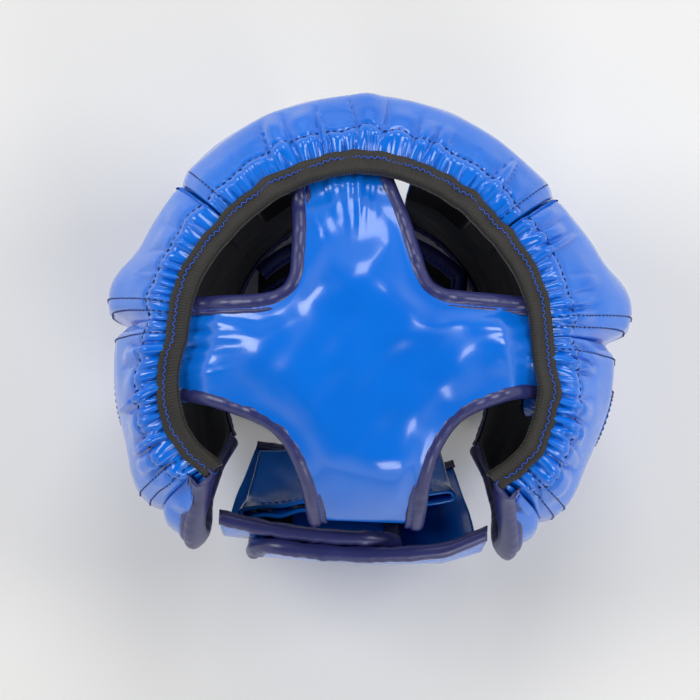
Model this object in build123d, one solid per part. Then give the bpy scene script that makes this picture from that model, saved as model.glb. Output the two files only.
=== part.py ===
from build123d import *

import math
import os

# Boxing headgear: padded leather shell round the head, gathered on to an elastic rim, with a
# cross-shaped crown pad, an overlapping hook-and-loop rear closure and a chin strap.
# Millimetres, +Z up, +Y the way the wearer faces, +X the wearer's right.

# --- Driving dimensions -------------------------------------------------------------------
SHIFT_Y = -8.75  # puts the middle of the whole box on the origin

# Plan of the shell: (angle from straight ahead, radius). Both sides are alike.
OUTLINE = [(0, 127), (25, 125), (48, 123), (66, 125.5), (78.5, 134.5), (82.5, 133.5), (86.2, 125),
           (89.5, 128), (100, 129.5), (112, 131), (124, 134.5), (131, 132), (142, 134)]
RIM_R = [(0, 92), (45, 90), (75, 93), (90, 94), (105, 101), (120, 104), (132, 100), (142, 98)]
LINING_R = [(0, 94), (60, 91), (90, 93), (110, 99), (125, 107), (134, 117), (142, 124)]
NECK_R = [(0, 94), (14, 93), (40, 88), (70, 80), (90, 78), (110, 80), (125, 82), (142, 88)]

# Heights along the same angles
RIM_Z = [(0, 200), (60, 198), (90, 192), (120, 178), (132, 170), (142, 164)]
GIRTH_Z = [(0, 160), (50, 150), (75, 118), (90, 106), (142, 100)]
NECK_Z = [(0, 0), (95, 0), (125, 16), (142, 24)]
REAR_EDGE = [(-20, 118), (20, 122.5), (60, 133), (100, 140.5), (138, 137), (172, 132), (210, 128)]
EDGE_LEVELS = [-14] + list(range(24, 172, 12)) + [170, 210]

FRONT_SEAM = 50.0  # between the forehead pad and the temple
NOTCH = 86.2  # between the cheek pad and the ear pad
REAR_SEAM = 130.5  # between the ear pad and the rear corner
GUARD_FRONT = 14.0  # front edge of the cheek guard, beside the mouth
SEAM_GAP = 0.25

BROW_Z = 140.0  # lower edge of the forehead pad
CHEEK_Z = 86.0  # upper edge of the cheek guard
EYE_HALF = 69.0  # half the width of the eye opening

LEATHER = 1.5
LINING = 1.5
GAP = 0.3
EDGE_FOAM = 7.0  # the shell's thickness in the neck binding
GATHER = 12.0  # unpadded strip between the pad and the elastic
ELASTIC_W = 9.5
ELASTIC_T = 1.6
BIND = 1.3
BIND_W = 8.5

CROWN_Z = 213.0
CROWN_HINGE_Y = -34.0
ARM_END_Y = -87.0
CROWN_REACH = 81.0  # the arms stop short of the elastic

STRAP_TOP = 138.0
STRAP_BOTTOM = 27.0
STRAP_T = 4.2


# --- Curves and sections ------------------------------------------------------------------
def slope(keys, i):
    """Slope at a key that keeps the curve from swinging past its neighbours."""
    sides = []
    for a, b in ((i - 1, i), (i, i + 1)):
        if a >= 0 and b < len(keys):
            sides.append((keys[b][1] - keys[a][1]) / (keys[b][0] - keys[a][0]))
    if len(sides) == 1:
        return sides[0]
    if sides[0] * sides[1] <= 0:
        return 0.0
    return 2 * sides[0] * sides[1] / (sides[0] + sides[1])


def along(keys, at):
    """Smooth curve through the keys."""
    at = min(max(at, keys[0][0]), keys[-1][0])
    i = 0
    while i < len(keys) - 2 and at > keys[i + 1][0]:
        i += 1
    (x0, y0), (x1, y1) = keys[i], keys[i + 1]
    span = x1 - x0
    t = (at - x0) / span
    rise = (3 - 2 * t) * t * t
    bend = slope(keys, i) * t * (1 - t) ** 2 - slope(keys, i + 1) * t * t * (1 - t)
    return y0 + (y1 - y0) * rise + bend * span


def polar(angle, r, z):
    a = math.radians(angle)
    return (r * math.sin(a), r * math.cos(a), z)


def outer_r(angle, z):
    """Outer face of the shell: narrow in the neck binding, widest at the girth."""
    side = abs(angle)
    low, mid, top = along(NECK_Z, side), along(GIRTH_Z, side), along(RIM_Z, side)
    neck, out, rim = along(NECK_R, side) + EDGE_FOAM, along(OUTLINE, side), along(RIM_R, side)
    if z < mid:
        f = (z - low) / (mid - low)
        rows = [(0, neck), (0.09, neck + 1), (0.35, neck + 0.62 * (out - neck)),
                (0.65, neck + 0.92 * (out - neck)), (1, out)]
    else:
        f = (z - mid) / (top - mid)
        crest = rim + GATHER
        rows = [(0, out), (0.35, crest + 0.86 * (out - crest)), (0.66, crest + 0.48 * (out - crest)),
                (0.92, crest), (1, crest - 3)]
    return along(rows, f)


def inner_r(angle, z):
    side = abs(angle)
    low, top = along(NECK_Z, side), along(RIM_Z, side)
    neck, mid, rim = along(NECK_R, side), along(LINING_R, side), along(RIM_R, side)
    f = (z - low) / (top - low)
    rows = [(0, neck), (0.06, neck), (0.35, 0.4 * neck + 0.6 * mid), (0.6, mid), (0.97, rim - 6.5)]
    return along(rows, f)


def rows_between(low, high, count):
    return [low + (high - low) * i / (count - 1) for i in range(count)]


def ring(start, end, count, section, margin=0.0):
    """Loft of upright sections, each a closed line of (radius, height) at its angle.

    margin in mm draws in the two ends alone, so that layers share the sections between them.
    """
    angles = rows_between(start, end, count)
    angles[0] += math.degrees(margin / 110)
    angles[-1] -= math.degrees(margin / 110)
    faces = []
    for angle in angles:
        points = [polar(angle, r, z) for r, z in section(angle)]
        faces.append(Face(Wire.make_polygon([Vector(*p) for p in points], close=True)))
    return loft(faces)


def levels(low, crest, bottom, top):
    """Heights shared by every layer, with the layer's own first and last."""
    steps = [0.5] + list(range(1, 11))
    return [bottom] + [low + (crest - low) * i / 11 for i in steps] + [top]


def crest_z(angle):
    """Height of the stitch line where the pad ends and the gathered strip begins."""
    top = along(RIM_Z, abs(angle))
    return top - 0.08 * (top - along(GIRTH_Z, abs(angle))) - 1


def wall(angle, low, bottom, inset, deep, strip):
    """Section of the shell, inset from the outer face and deep past the lining's face.

    Its lowest points are at bottom. strip is how far under the rim's top the gathered strip's
    face lies; without it the section stops at the pad's own top.
    """
    side = abs(angle)
    top, rim, crest = along(RIM_Z, side), along(RIM_R, side), crest_z(angle)
    points = [(outer_r(angle, z) - inset, z) for z in levels(low, crest, bottom, crest - inset)]
    if strip is None:
        points[-1] = (points[-1][0] - 2, crest - inset - 1.5)
        high = crest - inset - 1.5
    else:
        points += [(rim + 1, top - strip), (rim - 5.5, top - strip)]
        high = top - strip - 2.5
    return points + [(inner_r(angle, z) + deep, z) for z in reversed(levels(low, crest, bottom, high))]


def brow(angle, inset, deep, strip):
    """Section of the forehead pad, rounded under at its lower edge."""
    base = BROW_Z + inset
    points = wall(angle, BROW_Z + 6, base + 6, inset, deep, strip)
    edge = points[0][0]
    return [(inner_r(angle, base) + deep, base), (edge - 9, base), (edge - 3, base + 2)] + points


# --- Cutting shapes -----------------------------------------------------------------------
def face_opening(grow):
    """Eye opening and everything above the cheek guards, cut straight along +Y."""
    half, low, high = EYE_HALF + grow, CHEEK_Z - grow, 260
    dip = 10
    outline = [(-half, high), (-half, low + dip), (-half + dip, low), (half - dip, low),
               (half, low + dip), (half, high)]
    face = Face(Wire.make_polygon([Vector(x, 20, z) for x, z in outline], close=True))
    return extrude(face, amount=150, dir=(0, 1, 0))


def under_brow(grow):
    """The forehead pad's own space, taken out of the temples."""
    block = Box(200, 300, 200, align=(Align.MAX, Align.CENTER, Align.MIN))
    return Rot(0, 0, -FRONT_SEAM - grow) * Pos(0, 0, BROW_Z - SEAM_GAP - grow) * block


def behind_edge(grow):
    """All that lies behind the slanting rear edge of the right side, drawn in by grow."""
    faces = []
    for z in EDGE_LEVELS:
        angle = along(REAR_EDGE, z) - math.degrees(grow / 120)
        corners = [polar(angle, 50, z), polar(angle, 190, z),
                   polar(angle + 40, 190, z), polar(angle + 40, 50, z)]
        faces.append(Face(Wire.make_polygon([Vector(*p) for p in corners], close=True)))
    return loft(faces)


def ear_hole(grow):
    hole = Cylinder(1, 120, align=(Align.CENTER, Align.CENTER, Align.MIN))
    hole = scale(hole, by=(10 + grow, 17 + grow, 1))
    return Rot(0, 0, -102) * Pos(0, 60, 96) * Rot(-90, 0, 0) * hole


def cut(body, tools):
    for tool in tools:
        body = body - tool
    return body


# --- Shell: cover, foam and lining of each padded section ----------------------------------
def side_low(angle):
    return along(NECK_Z, abs(angle)) + BIND + GAP


def lining_wall(angle, low, bottom):
    """Thin section against the head, from bottom up to the elastic."""
    heights = levels(low, crest_z(angle), bottom, along(RIM_Z, abs(angle)) - 4)
    face = [(inner_r(angle, z), z) for z in heights]
    return face + [(inner_r(angle, z) + LINING, z) for z in reversed(heights)]


def shell_section(start, end, count, shapers):
    """Cover, foam and lining between two angles; each shaper(grow) is a cut through them."""
    inside = LEATHER + GAP
    full = ring(start, end, count, lambda a: wall(a, side_low(a), side_low(a), 0, 0, 1.2))
    hollow = ring(start, end, count,
                  lambda a: wall(a, side_low(a), side_low(a) - 6, LEATHER, -6, 3.5), LEATHER)
    foam = ring(start, end, count,
                lambda a: wall(a, side_low(a), side_low(a) + 1, inside, LINING + GAP, None), inside)
    lining = ring(start, end, count, lambda a: lining_wall(a, side_low(a), side_low(a)), inside)
    cover = cut(full, [s(0) for s in shapers]) - cut(hollow, [s(LEATHER) for s in shapers])
    foam = cut(foam, [s(inside) for s in shapers])
    lining = cut(lining, [s(inside) for s in shapers])
    return {"cover": cover, "foam": foam, "lining": lining}


def forehead():
    inside = LEATHER + GAP
    end = FRONT_SEAM - SEAM_GAP
    full = ring(-end, end, 13, lambda a: brow(a, 0, 0, 1.2))
    hollow = ring(-end, end, 13, lambda a: brow(a, LEATHER, -6, 3.5), LEATHER)
    foam = ring(-end, end, 13, lambda a: brow(a, inside, LINING + GAP, None), inside)
    lining = ring(-end, end, 13, lambda a: lining_wall(a, BROW_Z, BROW_Z + inside), inside)
    return {"cover": full - hollow, "foam": foam, "lining": lining}


# --- Rim, neck and rear-edge tapes --------------------------------------------------------
def rim_elastic():
    """Fold-over elastic: a flat leg on the gathers and a leg down inside the lining."""
    def section(angle):
        top, rim = along(RIM_Z, abs(angle)), along(RIM_R, abs(angle))
        inside = rim - ELASTIC_W
        return [(rim, top - 0.6), (rim, top + 1.2), (inside, top + 1.2), (inside, top - 8),
                (inside + ELASTIC_T, top - 8), (inside + ELASTIC_T, top - 0.6)]

    return ring(-130.5, 130.5, 31, section)


def neck_binding():
    """Tape folded round the lower edge of the right side; its front stretch is cut flat at z = 0."""
    spare = 0.6

    def section(angle):
        low = along(NECK_Z, angle)
        inside = along(NECK_R, angle) - 0.6
        foot, head = outer_r(angle, low + BIND) + 0.6, outer_r(angle, low + BIND_W) + 0.8
        return [(inside - BIND, low - spare), (foot + BIND, low - spare), (head + BIND, low + BIND_W),
                (head, low + BIND_W), (foot, low + BIND), (inside, low + BIND),
                (inside, low + BIND_W), (inside - BIND, low + BIND_W)]

    ground = Box(400, 400, 20, align=(Align.CENTER, Align.CENTER, Align.MAX))
    return ring(GUARD_FRONT, 121, 25, section) - ground


def rear_edge_binding():
    """Tape closing the rear edge of the right side, from the nape to the rim."""
    faces = []
    for z in EDGE_LEVELS[1:-1]:
        angle = along(REAR_EDGE, z)
        inside, outside = inner_r(angle, z) - 1, outer_r(angle, z) + 1
        start, end = angle + math.degrees(0.5 / 110), angle + math.degrees(6.5 / 110)
        corners = [polar(start, inside, z), polar(start, outside, z),
                   polar(end, outside, z), polar(end, inside, z)]
        faces.append(Face(Wire.make_polygon([Vector(*p) for p in corners], close=True)))
    return loft(faces)


# --- Crown cross --------------------------------------------------------------------------
def crown_height(x, y):
    """Top face of the crown pad; its rear arm bends down behind the head."""
    fall = 21 * (y / 88) ** 2 if y > 0 else 16 * (y / 60) ** 2
    if y < -55:
        fall += 0.021 * (-55 - y) ** 2
    return CROWN_Z - fall - 22 * (x / 88) ** 2


def crown_layer(top, thick):
    """Domed sheet lying top below the crown's upper face."""
    faces = []
    for y in rows_between(-92, 92, 15):
        xs = rows_between(-96, 96, 13)
        upper = [Vector(x, y, crown_height(x, y) - top) for x in xs]
        lower = [Vector(x, y, crown_height(x, y) - top - thick) for x in reversed(xs)]
        faces.append(Face(Wire.make_polygon(upper + lower, close=True)))
    return loft(faces)


def drawn_in(corners, inset):
    """Corners of a closed outline that runs clockwise, each moved in by inset from both its sides."""
    moved = []
    for i, corner in enumerate(corners):
        here = Vector(*corner)
        ahead = (Vector(*corners[(i + 1) % len(corners)]) - here).normalized()
        behind = (here - Vector(*corners[i - 1])).normalized()
        inward = Vector(ahead.Y + behind.Y, -ahead.X - behind.X)
        point = here + inward * (inset / (1 + ahead.dot(behind)))
        moved.append((point.X, point.Y))
    return moved


def cross_outline(inset):
    """Plan of the cross as an upright prism, drawn in by inset except at the ends of its arms."""
    front_right = [(4, 110), (11.6, 83), (20.6, 61), (26.5, 44), (32.4, 29), (41.6, 25), (120, 25)]
    rear_right = [(120, -23), (81, -23), (62, -29), (45.6, -40), (38.5, -54), (35, -82), (34, -120)]
    rear_left = [(-18, -120), (-21.5, -87), (-28, -62), (-38, -48), (-58, -37), (-81, -31), (-120, -28)]
    front_left = [(-120, 18.4), (-80, 18.4), (-46, 20), (-34.5, 26), (-33.4, 46), (-36, 75), (-37, 110)]
    corners = front_right + rear_right + rear_left + front_left
    face = Face(Wire.make_polygon([Vector(x, y, 120) for x, y in drawn_in(corners, inset)], close=True))
    prism = extrude(face, amount=120, dir=(0, 0, 1))
    rear = Box(200, -ARM_END_Y + CROWN_HINGE_Y, 400, align=(Align.CENTER, Align.MIN, Align.CENTER))
    reach = Cylinder(CROWN_REACH, 400) + Pos(0, ARM_END_Y, 0) * rear
    return prism & (Pos(0, 0, 180) * reach)


def crown_parts():
    """Cross and tape, each split where the rear arm bends."""
    cross = cross_outline(0)
    core = cross_outline(BIND + GAP)
    frame = cross - cross_outline(BIND_W)
    tape = (crown_layer(0, 11) & frame) - (crown_layer(BIND, 11 - 2 * BIND) & core)
    layers = {"cover": crown_layer(BIND + GAP, 1.2) & core, "foam": crown_layer(3.1, 4.6) & core,
              "lining": crown_layer(8.0, 1.2) & core}
    half_space = {side: Box(300, 300, 600, align=(Align.CENTER, side, Align.CENTER))
                  for side in (Align.MIN, Align.MAX)}
    ahead = Pos(0, CROWN_HINGE_Y + 0.5, 0) * half_space[Align.MIN]
    behind = Pos(0, CROWN_HINGE_Y - 0.5, 0) * half_space[Align.MAX]
    parts = {}
    for name, layer in layers.items():
        parts["crown_" + name] = layer & ahead
        parts["crown_arm_" + name] = layer & behind
    right, left = Pos(150, 0, 0) * Box(300, 600, 600), Pos(-150, 0, 0) * Box(300, 600, 600)
    front = Pos(0, 150, 0) * Box(600, 300, 600)
    rear = Pos(0, -150, 0) * Box(600, 300, 600)
    for side, half in (("right", right), ("left", left)):
        parts["crown_front_binding_" + side] = tape & half & front
        parts["crown_arm_binding_" + side] = tape & half & behind
    parts["crown_side_bindings"] = tape & rear & ahead
    patch = crown_layer(9.5, 1.4) & (Pos(0, ARM_END_Y + 22, 150) * Box(24, 26, 200))
    parts["crown_arm_hook_patch"] = patch
    return parts


# --- Rear closure straps and neck sleeve --------------------------------------------------
def closure_y(x, z):
    """Middle of the inner strap: bulging at the girth and leaning in to the nape."""
    middle = along([(20, -47), (27, -50), (60, -78), (100, -99), (138, -95), (145, -93)], z)
    ends = along([(20, 5), (60, 8), (100, 4), (138, 9), (145, 9)], z)
    return middle + ends * (x / 72) ** 2


def outer_shift(x):
    """How far the outer strap lies outside the inner one."""
    return 8.4 * min(1.0, max(0.0, (82 - x) / 34))


def no_shift(x):
    return 0.0


def closure_panel(x0, x1, shift, near, far):
    """Curved sheet across the rear, between near and far behind the straps' middle face."""
    faces = []
    for x in rows_between(x0, x1, 9):
        heights = rows_between(STRAP_BOTTOM - 6, STRAP_TOP + 6, 10)
        front = [Vector(x, closure_y(x, z) - shift(x) - near, z) for z in heights]
        back = [Vector(x, closure_y(x, z) - shift(x) - far, z) for z in reversed(heights)]
        faces.append(Face(Wire.make_polygon(front + back, close=True)))
    return loft(faces)


def strap_outline(root, tip, grow):
    """Outline seen from behind, for a strap from the right; the root is left open."""
    low, high = STRAP_BOTTOM - grow, STRAP_TOP + grow
    end = tip - grow
    points = [(root - 11, low), (root, 84), (root + 2, high), (end + 22, high), (end + 6, high - 9),
              (end, high - 28), (end, low + 30), (end + 6, low + 10), (end + 22, low)]
    face = Face(Wire.make_polygon([Vector(x, -20, z) for x, z in points], close=True))
    return extrude(face, amount=120, dir=(0, -1, 0))


def strap_parts(name, root, tip, shift):
    """Cover, foam and lining of a strap, and the tape round its free edges."""
    half = STRAP_T / 2
    whole, core = strap_outline(root, tip, 0), strap_outline(root, tip, -BIND - GAP)
    x0, x1 = tip - 8, root + 6
    frame = whole - strap_outline(root + 20, tip, -BIND_W)
    tape = closure_panel(x0, x1, shift, -half - BIND - GAP, half + BIND + GAP) & frame
    tape = tape - (closure_panel(x0, x1, shift, -half - GAP, half + GAP) & core)
    return {
        name + "_cover": closure_panel(x0, x1, shift, half - 1.2, half) & core,
        name + "_foam": closure_panel(x0, x1, shift, -half + 1.5, half - 1.5) & core,
        name + "_lining": closure_panel(x0, x1, shift, -half, -half + 1.2) & core,
        name + "_binding": tape,
    }


def patch(x0, x1, z0, z1, shift, near, far):
    block = Pos((x0 + x1) / 2, -80, (z0 + z1) / 2) * Box(x1 - x0, 120, z1 - z0)
    return closure_panel(x0 - 5, x1 + 5, shift, near, far) & block


def sleeve_layer(depth, thick):
    """One leather layer of the flat sleeve that lines the closure, leaning in at its deep end."""
    faces = []
    for f in rows_between(0, 1, 7):
        z_low, z_high = 47 - 3 * f, 127 + 2 * f
        x_low, x_high = -51 + 108 * f, -55 + 118 * f
        y_low, y_high = -50 + 7 * f, -83 + 13 * f
        points = []
        for g in rows_between(0, 1, 5):
            bow = 5 * math.sin(math.pi * g) * (1 - 0.4 * f)
            x, y = x_low + (x_high - x_low) * g, y_low + (y_high - y_low) * g - bow
            points.append((x, y, z_low + (z_high - z_low) * g))
        front = [Vector(x, y - depth, z) for x, y, z in points]
        back = [Vector(x, y - depth - thick, z) for x, y, z in reversed(points)]
        faces.append((front, back))
    solids = []
    for (f0, b0), (f1, b1) in zip(faces, faces[1:]):
        for i in range(len(f0) - 1):
            j = len(b0) - 1 - i
            solids.append(slab([f0[i], f0[i + 1], f1[i + 1], f1[i]],
                               [b0[j], b0[j - 1], b1[j - 1], b1[j]]))
    body = solids[0]
    return body.fuse(*solids[1:]).clean()


def slab(front, back):
    """Six-sided block between two four-cornered faces, each side split into two triangles."""
    quads = [front, list(reversed(back))]
    for i in range(4):
        j = (i + 1) % 4
        quads.append([front[j], front[i], back[i], back[j]])
    faces = []
    for a, b, c, d in quads:
        faces.append(Face(Wire.make_polygon([a, b, c], close=True)))
        faces.append(Face(Wire.make_polygon([a, c, d], close=True)))
    return Solid(Shell(faces))


# --- Chin strap ---------------------------------------------------------------------------
CHIN_R = 83.0  # radius of its front edge, inside the cheek guards
CHIN_W = 27.0
CHIN_CUP = 20.0  # how far its middle reaches forward between the guards


def chin_layer(x0, x1, low, high, trim):
    """Slice of the strap between two heights above its lowest face, trim in from its edges."""
    faces = []
    for x in rows_between(x0, x1, 17):
        z = 5 + 7 * (x / 62) ** 2
        front = math.sqrt(CHIN_R ** 2 - x ** 2)
        cup = CHIN_CUP * max(0.0, 1 - (x / 20) ** 2) ** 2
        y0, y1 = front - CHIN_W + trim, front + cup - trim
        corners = [Vector(x, y0, z + low), Vector(x, y1, z + low),
                   Vector(x, y1, z + high), Vector(x, y0, z + high)]
        faces.append(Face(Wire.make_polygon(corners, close=True)))
    return loft(faces)


def chin_parts(name, x0, x1, base):
    """Leather outside, lining inside and taped edges, base above the strap's lowest face."""
    tape = chin_layer(x0, x1, base, base + 4.8, 0)
    tape = tape - chin_layer(x0, x1, base + BIND, base + 3.5, BIND)
    tape = tape - chin_layer(x0, x1, base - 2, base + 8, BIND_W)
    return {
        name + "_cover": chin_layer(x0, x1, base + 1.5, base + 2.3, BIND + GAP),
        name + "_lining": chin_layer(x0, x1, base + 2.5, base + 3.3, BIND + GAP),
        name + "_binding": tape,
    }


# --- Assembly -----------------------------------------------------------------------------
def build():
    parts = {"rim_elastic": rim_elastic()}
    for layer, solid in forehead().items():
        parts["forehead_" + layer] = solid
    cheek = shell_section(GUARD_FRONT, NOTCH - SEAM_GAP, 14, [face_opening, under_brow])
    ear = shell_section(NOTCH + SEAM_GAP, REAR_SEAM - SEAM_GAP, 9, [behind_edge, ear_hole])
    corner = shell_section(REAR_SEAM + SEAM_GAP, 142, 5, [behind_edge])
    right = {}
    for name, section in (("cheek", cheek), ("ear", ear), ("rear_corner", corner)):
        for layer, solid in section.items():
            right[name + "_" + layer] = solid
    right["neck_binding"] = neck_binding()
    right["rear_edge_binding"] = rear_edge_binding()
    for name, solid in right.items():
        parts["right_" + name] = solid
        parts["left_" + name] = mirror(solid, about=Plane.YZ)
    parts.update(crown_parts())

    face, back = STRAP_T / 2 + 0.1, STRAP_T / 2 + 1.2
    parts.update(strap_parts("outer_strap", 67, -54, outer_shift))
    parts["outer_strap_hook_patch"] = patch(-35, 10, 54, 110, outer_shift, -back, -face)
    for name, solid in strap_parts("inner_strap", 66, -26, no_shift).items():
        parts[name] = mirror(solid, about=Plane.YZ)
    parts["inner_strap_closure_loop"] = patch(-40, 10, 50, 114, no_shift, face, back)
    parts["inner_strap_loop_patch"] = patch(-54, -32, 60, 118, no_shift, -back, -face)
    parts["neck_sleeve_inner"] = sleeve_layer(0, 1.3)
    parts["neck_sleeve_outer"] = sleeve_layer(3.6, 1.3)

    parts.update(chin_parts("chin_strap", -61, 46, 0))
    parts.update(chin_parts("chin_tab", 22, 61, 6.6))
    parts["chin_strap_hook_patch"] = chin_layer(26, 43, 4.0, 5.8, 9.5)
    return parts


if __name__ == "__main__":
    os.makedirs("parts", exist_ok=True)
    for node, solid in build().items():
        export_step(Pos(0, SHIFT_Y, 0) * solid, "parts/" + node + ".step")
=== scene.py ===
import math

import bmesh
import bpy
import numpy as np
from mathutils import Matrix, Vector


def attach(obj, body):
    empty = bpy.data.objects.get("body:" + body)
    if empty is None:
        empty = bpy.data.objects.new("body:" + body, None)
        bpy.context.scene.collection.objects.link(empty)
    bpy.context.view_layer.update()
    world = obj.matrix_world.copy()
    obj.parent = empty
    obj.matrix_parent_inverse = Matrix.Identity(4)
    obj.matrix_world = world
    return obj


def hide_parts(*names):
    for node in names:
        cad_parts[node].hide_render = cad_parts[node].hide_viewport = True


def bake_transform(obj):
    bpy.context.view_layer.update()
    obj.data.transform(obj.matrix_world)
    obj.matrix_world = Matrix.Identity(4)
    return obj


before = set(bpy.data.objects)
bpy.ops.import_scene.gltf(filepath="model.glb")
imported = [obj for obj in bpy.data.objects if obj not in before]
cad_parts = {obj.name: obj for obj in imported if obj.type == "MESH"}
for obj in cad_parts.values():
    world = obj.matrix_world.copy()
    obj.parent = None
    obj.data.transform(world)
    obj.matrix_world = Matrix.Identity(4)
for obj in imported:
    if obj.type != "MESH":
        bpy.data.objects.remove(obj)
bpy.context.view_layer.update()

# --- Padded leather sections of the shell -------------------------------------------------
# Foam pads wrapped in glossy polyurethane leather, sewn to each other edge to edge. A row of
# stitches closes the pad near the top, and the loose strip above it is gathered on the elastic.
MM = 0.001
SHIFT_Y = -8.75  # mm; puts the middle of the object on the origin

OUTLINE = [(0, 127), (25, 125), (48, 123), (66, 125.5), (78.5, 134.5), (82.5, 133.5), (86.2, 125),
           (89.5, 128), (100, 129.5), (112, 131), (124, 134.5), (131, 132), (142, 134)]
RIGHT_SWELL = [(0, 2), (25, 3.5), (50, 4.5), (64, 8.5), (74, 12), (79, 11.5), (86, 8.5), (92, 8), (105, 4.5),
               (115, 1.5), (142, 0)]
LEFT_SWELL = [(0, 2), (20, 3), (44, 3.5), (54, 1), (70, 0), (112, 0), (126, 2.5), (142, 2)]
RIM_R = [(0, 92), (45, 90), (75, 93), (90, 94), (105, 101), (120, 104), (132, 100), (142, 98)]
LINING_R = [(0, 94), (60, 91), (90, 93), (110, 99), (125, 107), (134, 117), (142, 124)]
NECK_R = [(0, 94), (14, 93), (40, 88), (70, 80), (90, 78), (110, 80), (125, 82), (142, 88)]
RIM_Z = [(0, 200), (60, 198), (90, 192), (120, 178), (132, 170), (142, 164)]
GIRTH_Z = [(0, 160), (50, 150), (75, 118), (90, 106), (142, 100)]
NECK_Z = [(0, 0), (95, 0), (125, 16), (142, 24)]
REAR_EDGE = [(-20, 118), (20, 122.5), (60, 133), (100, 140.5), (138, 137), (172, 132), (210, 128)]

FRONT_SEAM = 50.0  # degrees from straight ahead
NOTCH = 86.2
SEAM_GAP = 0.15
REAR_SEAM = 130.5
GUARD_FRONT = 14.0
EYE_EDGE = 36.0
BROW_Z = 140.0
CHEEK_Z = 86.0
CORNER_LOW = 56.0  # the rear corners end this high, above the neck
CORNER_END = 141.0  # degrees
LOW_ROUND = 7.0  # mm over which a lower edge is rounded
MEAN_R = 125.0  # for turning degrees into mm along the shell
STRIP_ROWS = 18
STEP = 0.42  # degrees between columns
EDGE_T = 8.0  # mm of padding left at the rear edge
EDGE_SLOPE = 15.0


def along(keys, at):
    """Smooth curve through (place, value) keys that never swings past them; values may be arrays."""
    at = np.clip(np.asarray(at, float), keys[0][0], keys[-1][0])
    places = [k[0] for k in keys]
    values = [np.broadcast_to(np.asarray(k[1], float), at.shape) for k in keys]
    rises = [(values[i + 1] - values[i]) / (places[i + 1] - places[i]) for i in range(len(keys) - 1)]
    slopes = [rises[0]]
    for a, b in zip(rises, rises[1:]):
        same = a * b > 0
        slopes.append(np.where(same, 2 * a * b / np.where(same, a + b, 1), 0))
    slopes.append(rises[-1])
    found = values[0].copy()
    for i in range(len(keys) - 1):
        span = places[i + 1] - places[i]
        t = np.clip((at - places[i]) / span, 0, 1)
        value = values[i] + (values[i + 1] - values[i]) * (3 - 2 * t) * t * t
        value = value + (slopes[i] * t * (1 - t) ** 2 - slopes[i + 1] * t * t * (1 - t)) * span
        found = np.where(at >= places[i], value, found)
    return found


def edge_share(angle, z):
    """0 over the pads, rising to 1 at the rear edge, where they are pressed thin for their tape."""
    gap = (along(REAR_EDGE, z) - np.abs(angle)) * math.pi / 180 * MEAN_R
    return ease(1 - gap / EDGE_SLOPE)


def outer_r(angle, z):
    plain = plain_outer(angle, z)
    spare = np.maximum(plain - plain_inner(angle, z) - EDGE_T, 0)
    return plain - 0.5 * spare * edge_share(angle, z)


def inner_r(angle, z):
    plain = plain_inner(angle, z)
    spare = np.maximum(plain_outer(angle, z) - plain - EDGE_T, 0)
    return plain + 0.5 * spare * edge_share(angle, z)


def plain_outer(angle, z):
    """Outer face of the shell: narrow in the neck binding, widest at the girth."""
    side = np.abs(angle)
    low, mid, top = along(NECK_Z, side), along(GIRTH_Z, side), along(RIM_Z, side)
    neck, crest = along(NECK_R, side) + 7, along(RIM_R, side) + 12
    out = along(OUTLINE, side) + np.where(angle > 0, along(RIGHT_SWELL, side), along(LEFT_SWELL, side))
    below = along([(0, neck), (0.09, neck + 1), (0.35, neck + 0.62 * (out - neck)),
                   (0.65, neck + 0.92 * (out - neck)), (1, out)], (z - low) / (mid - low))
    above = along([(0, out), (0.35, crest + 0.86 * (out - crest)), (0.66, crest + 0.48 * (out - crest)),
                   (0.92, crest), (1, crest - 3)], (z - mid) / (top - mid))
    return np.where(z < mid, below, above)


def plain_inner(angle, z):
    """Face of the lining against the head."""
    side = np.abs(angle)
    low, top = along(NECK_Z, side), along(RIM_Z, side)
    neck, mid, rim = along(NECK_R, side), along(LINING_R, side), along(RIM_R, side)
    return along([(0, neck), (0.06, neck), (0.35, 0.4 * neck + 0.6 * mid), (0.6, mid),
                  (0.97, rim - 6.5)], (z - low) / (top - low))


def polar(angle, r, z):
    a = np.radians(angle)
    return np.stack(np.broadcast_arrays(r * np.sin(a), r * np.cos(a), z), -1)


def ease(t):
    t = np.clip(t, 0, 1)
    return t * t * (3 - 2 * t)


def normals(grid):
    """Unit normals of a grid of points."""
    n = np.cross(np.gradient(grid, axis=1), np.gradient(grid, axis=0))
    return n / np.maximum(np.linalg.norm(n, axis=-1, keepdims=True), 1e-9)


def ripple(seed, waves, *at):
    """Smooth irregular ripple, about -1 to 1, from waves of (length, share) along the places in at."""
    draw = np.random.default_rng(seed)
    total = 0
    for length, share in waves:
        for _ in range(4):
            way = draw.normal(size=len(at))
            way /= np.linalg.norm(way)
            reach = length * draw.uniform(0.75, 1.35)
            total = total + share * np.sin(
                2 * math.pi * sum(w * a for w, a in zip(way, at)) / reach + draw.uniform(0, 6.3)) / 2
    return total


def gathers(seed, angle, out, spacing, slant):
    """Uneven folds running outward: (height 0 to 1 across the fold, a random 0 to 1 of the fold, another)."""
    draw = np.random.default_rng(seed)
    edges = [-150.0]
    while edges[-1] < 150:
        edges.append(edges[-1] + spacing * draw.uniform(0.55, 1.5))
    edges = np.array(edges)
    lean = draw.normal(0, slant, len(edges))
    first, second = draw.uniform(0, 1, len(edges)), draw.uniform(0, 1, len(edges))
    height, one, two = np.zeros_like(angle), np.zeros_like(angle), np.zeros_like(angle)
    for row in range(len(angle)):
        shifted = np.sort(edges + lean * np.clip(out[row].mean(), 0, 40))
        place = np.interp(angle[row], shifted, np.arange(len(edges)))
        number = np.clip(place.astype(int), 0, len(edges) - 2)
        part = place - number
        height[row] = (4 * part * (1 - part)) ** 0.85
        one[row], two[row] = first[number], second[number]
    return height, one, two


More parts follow.
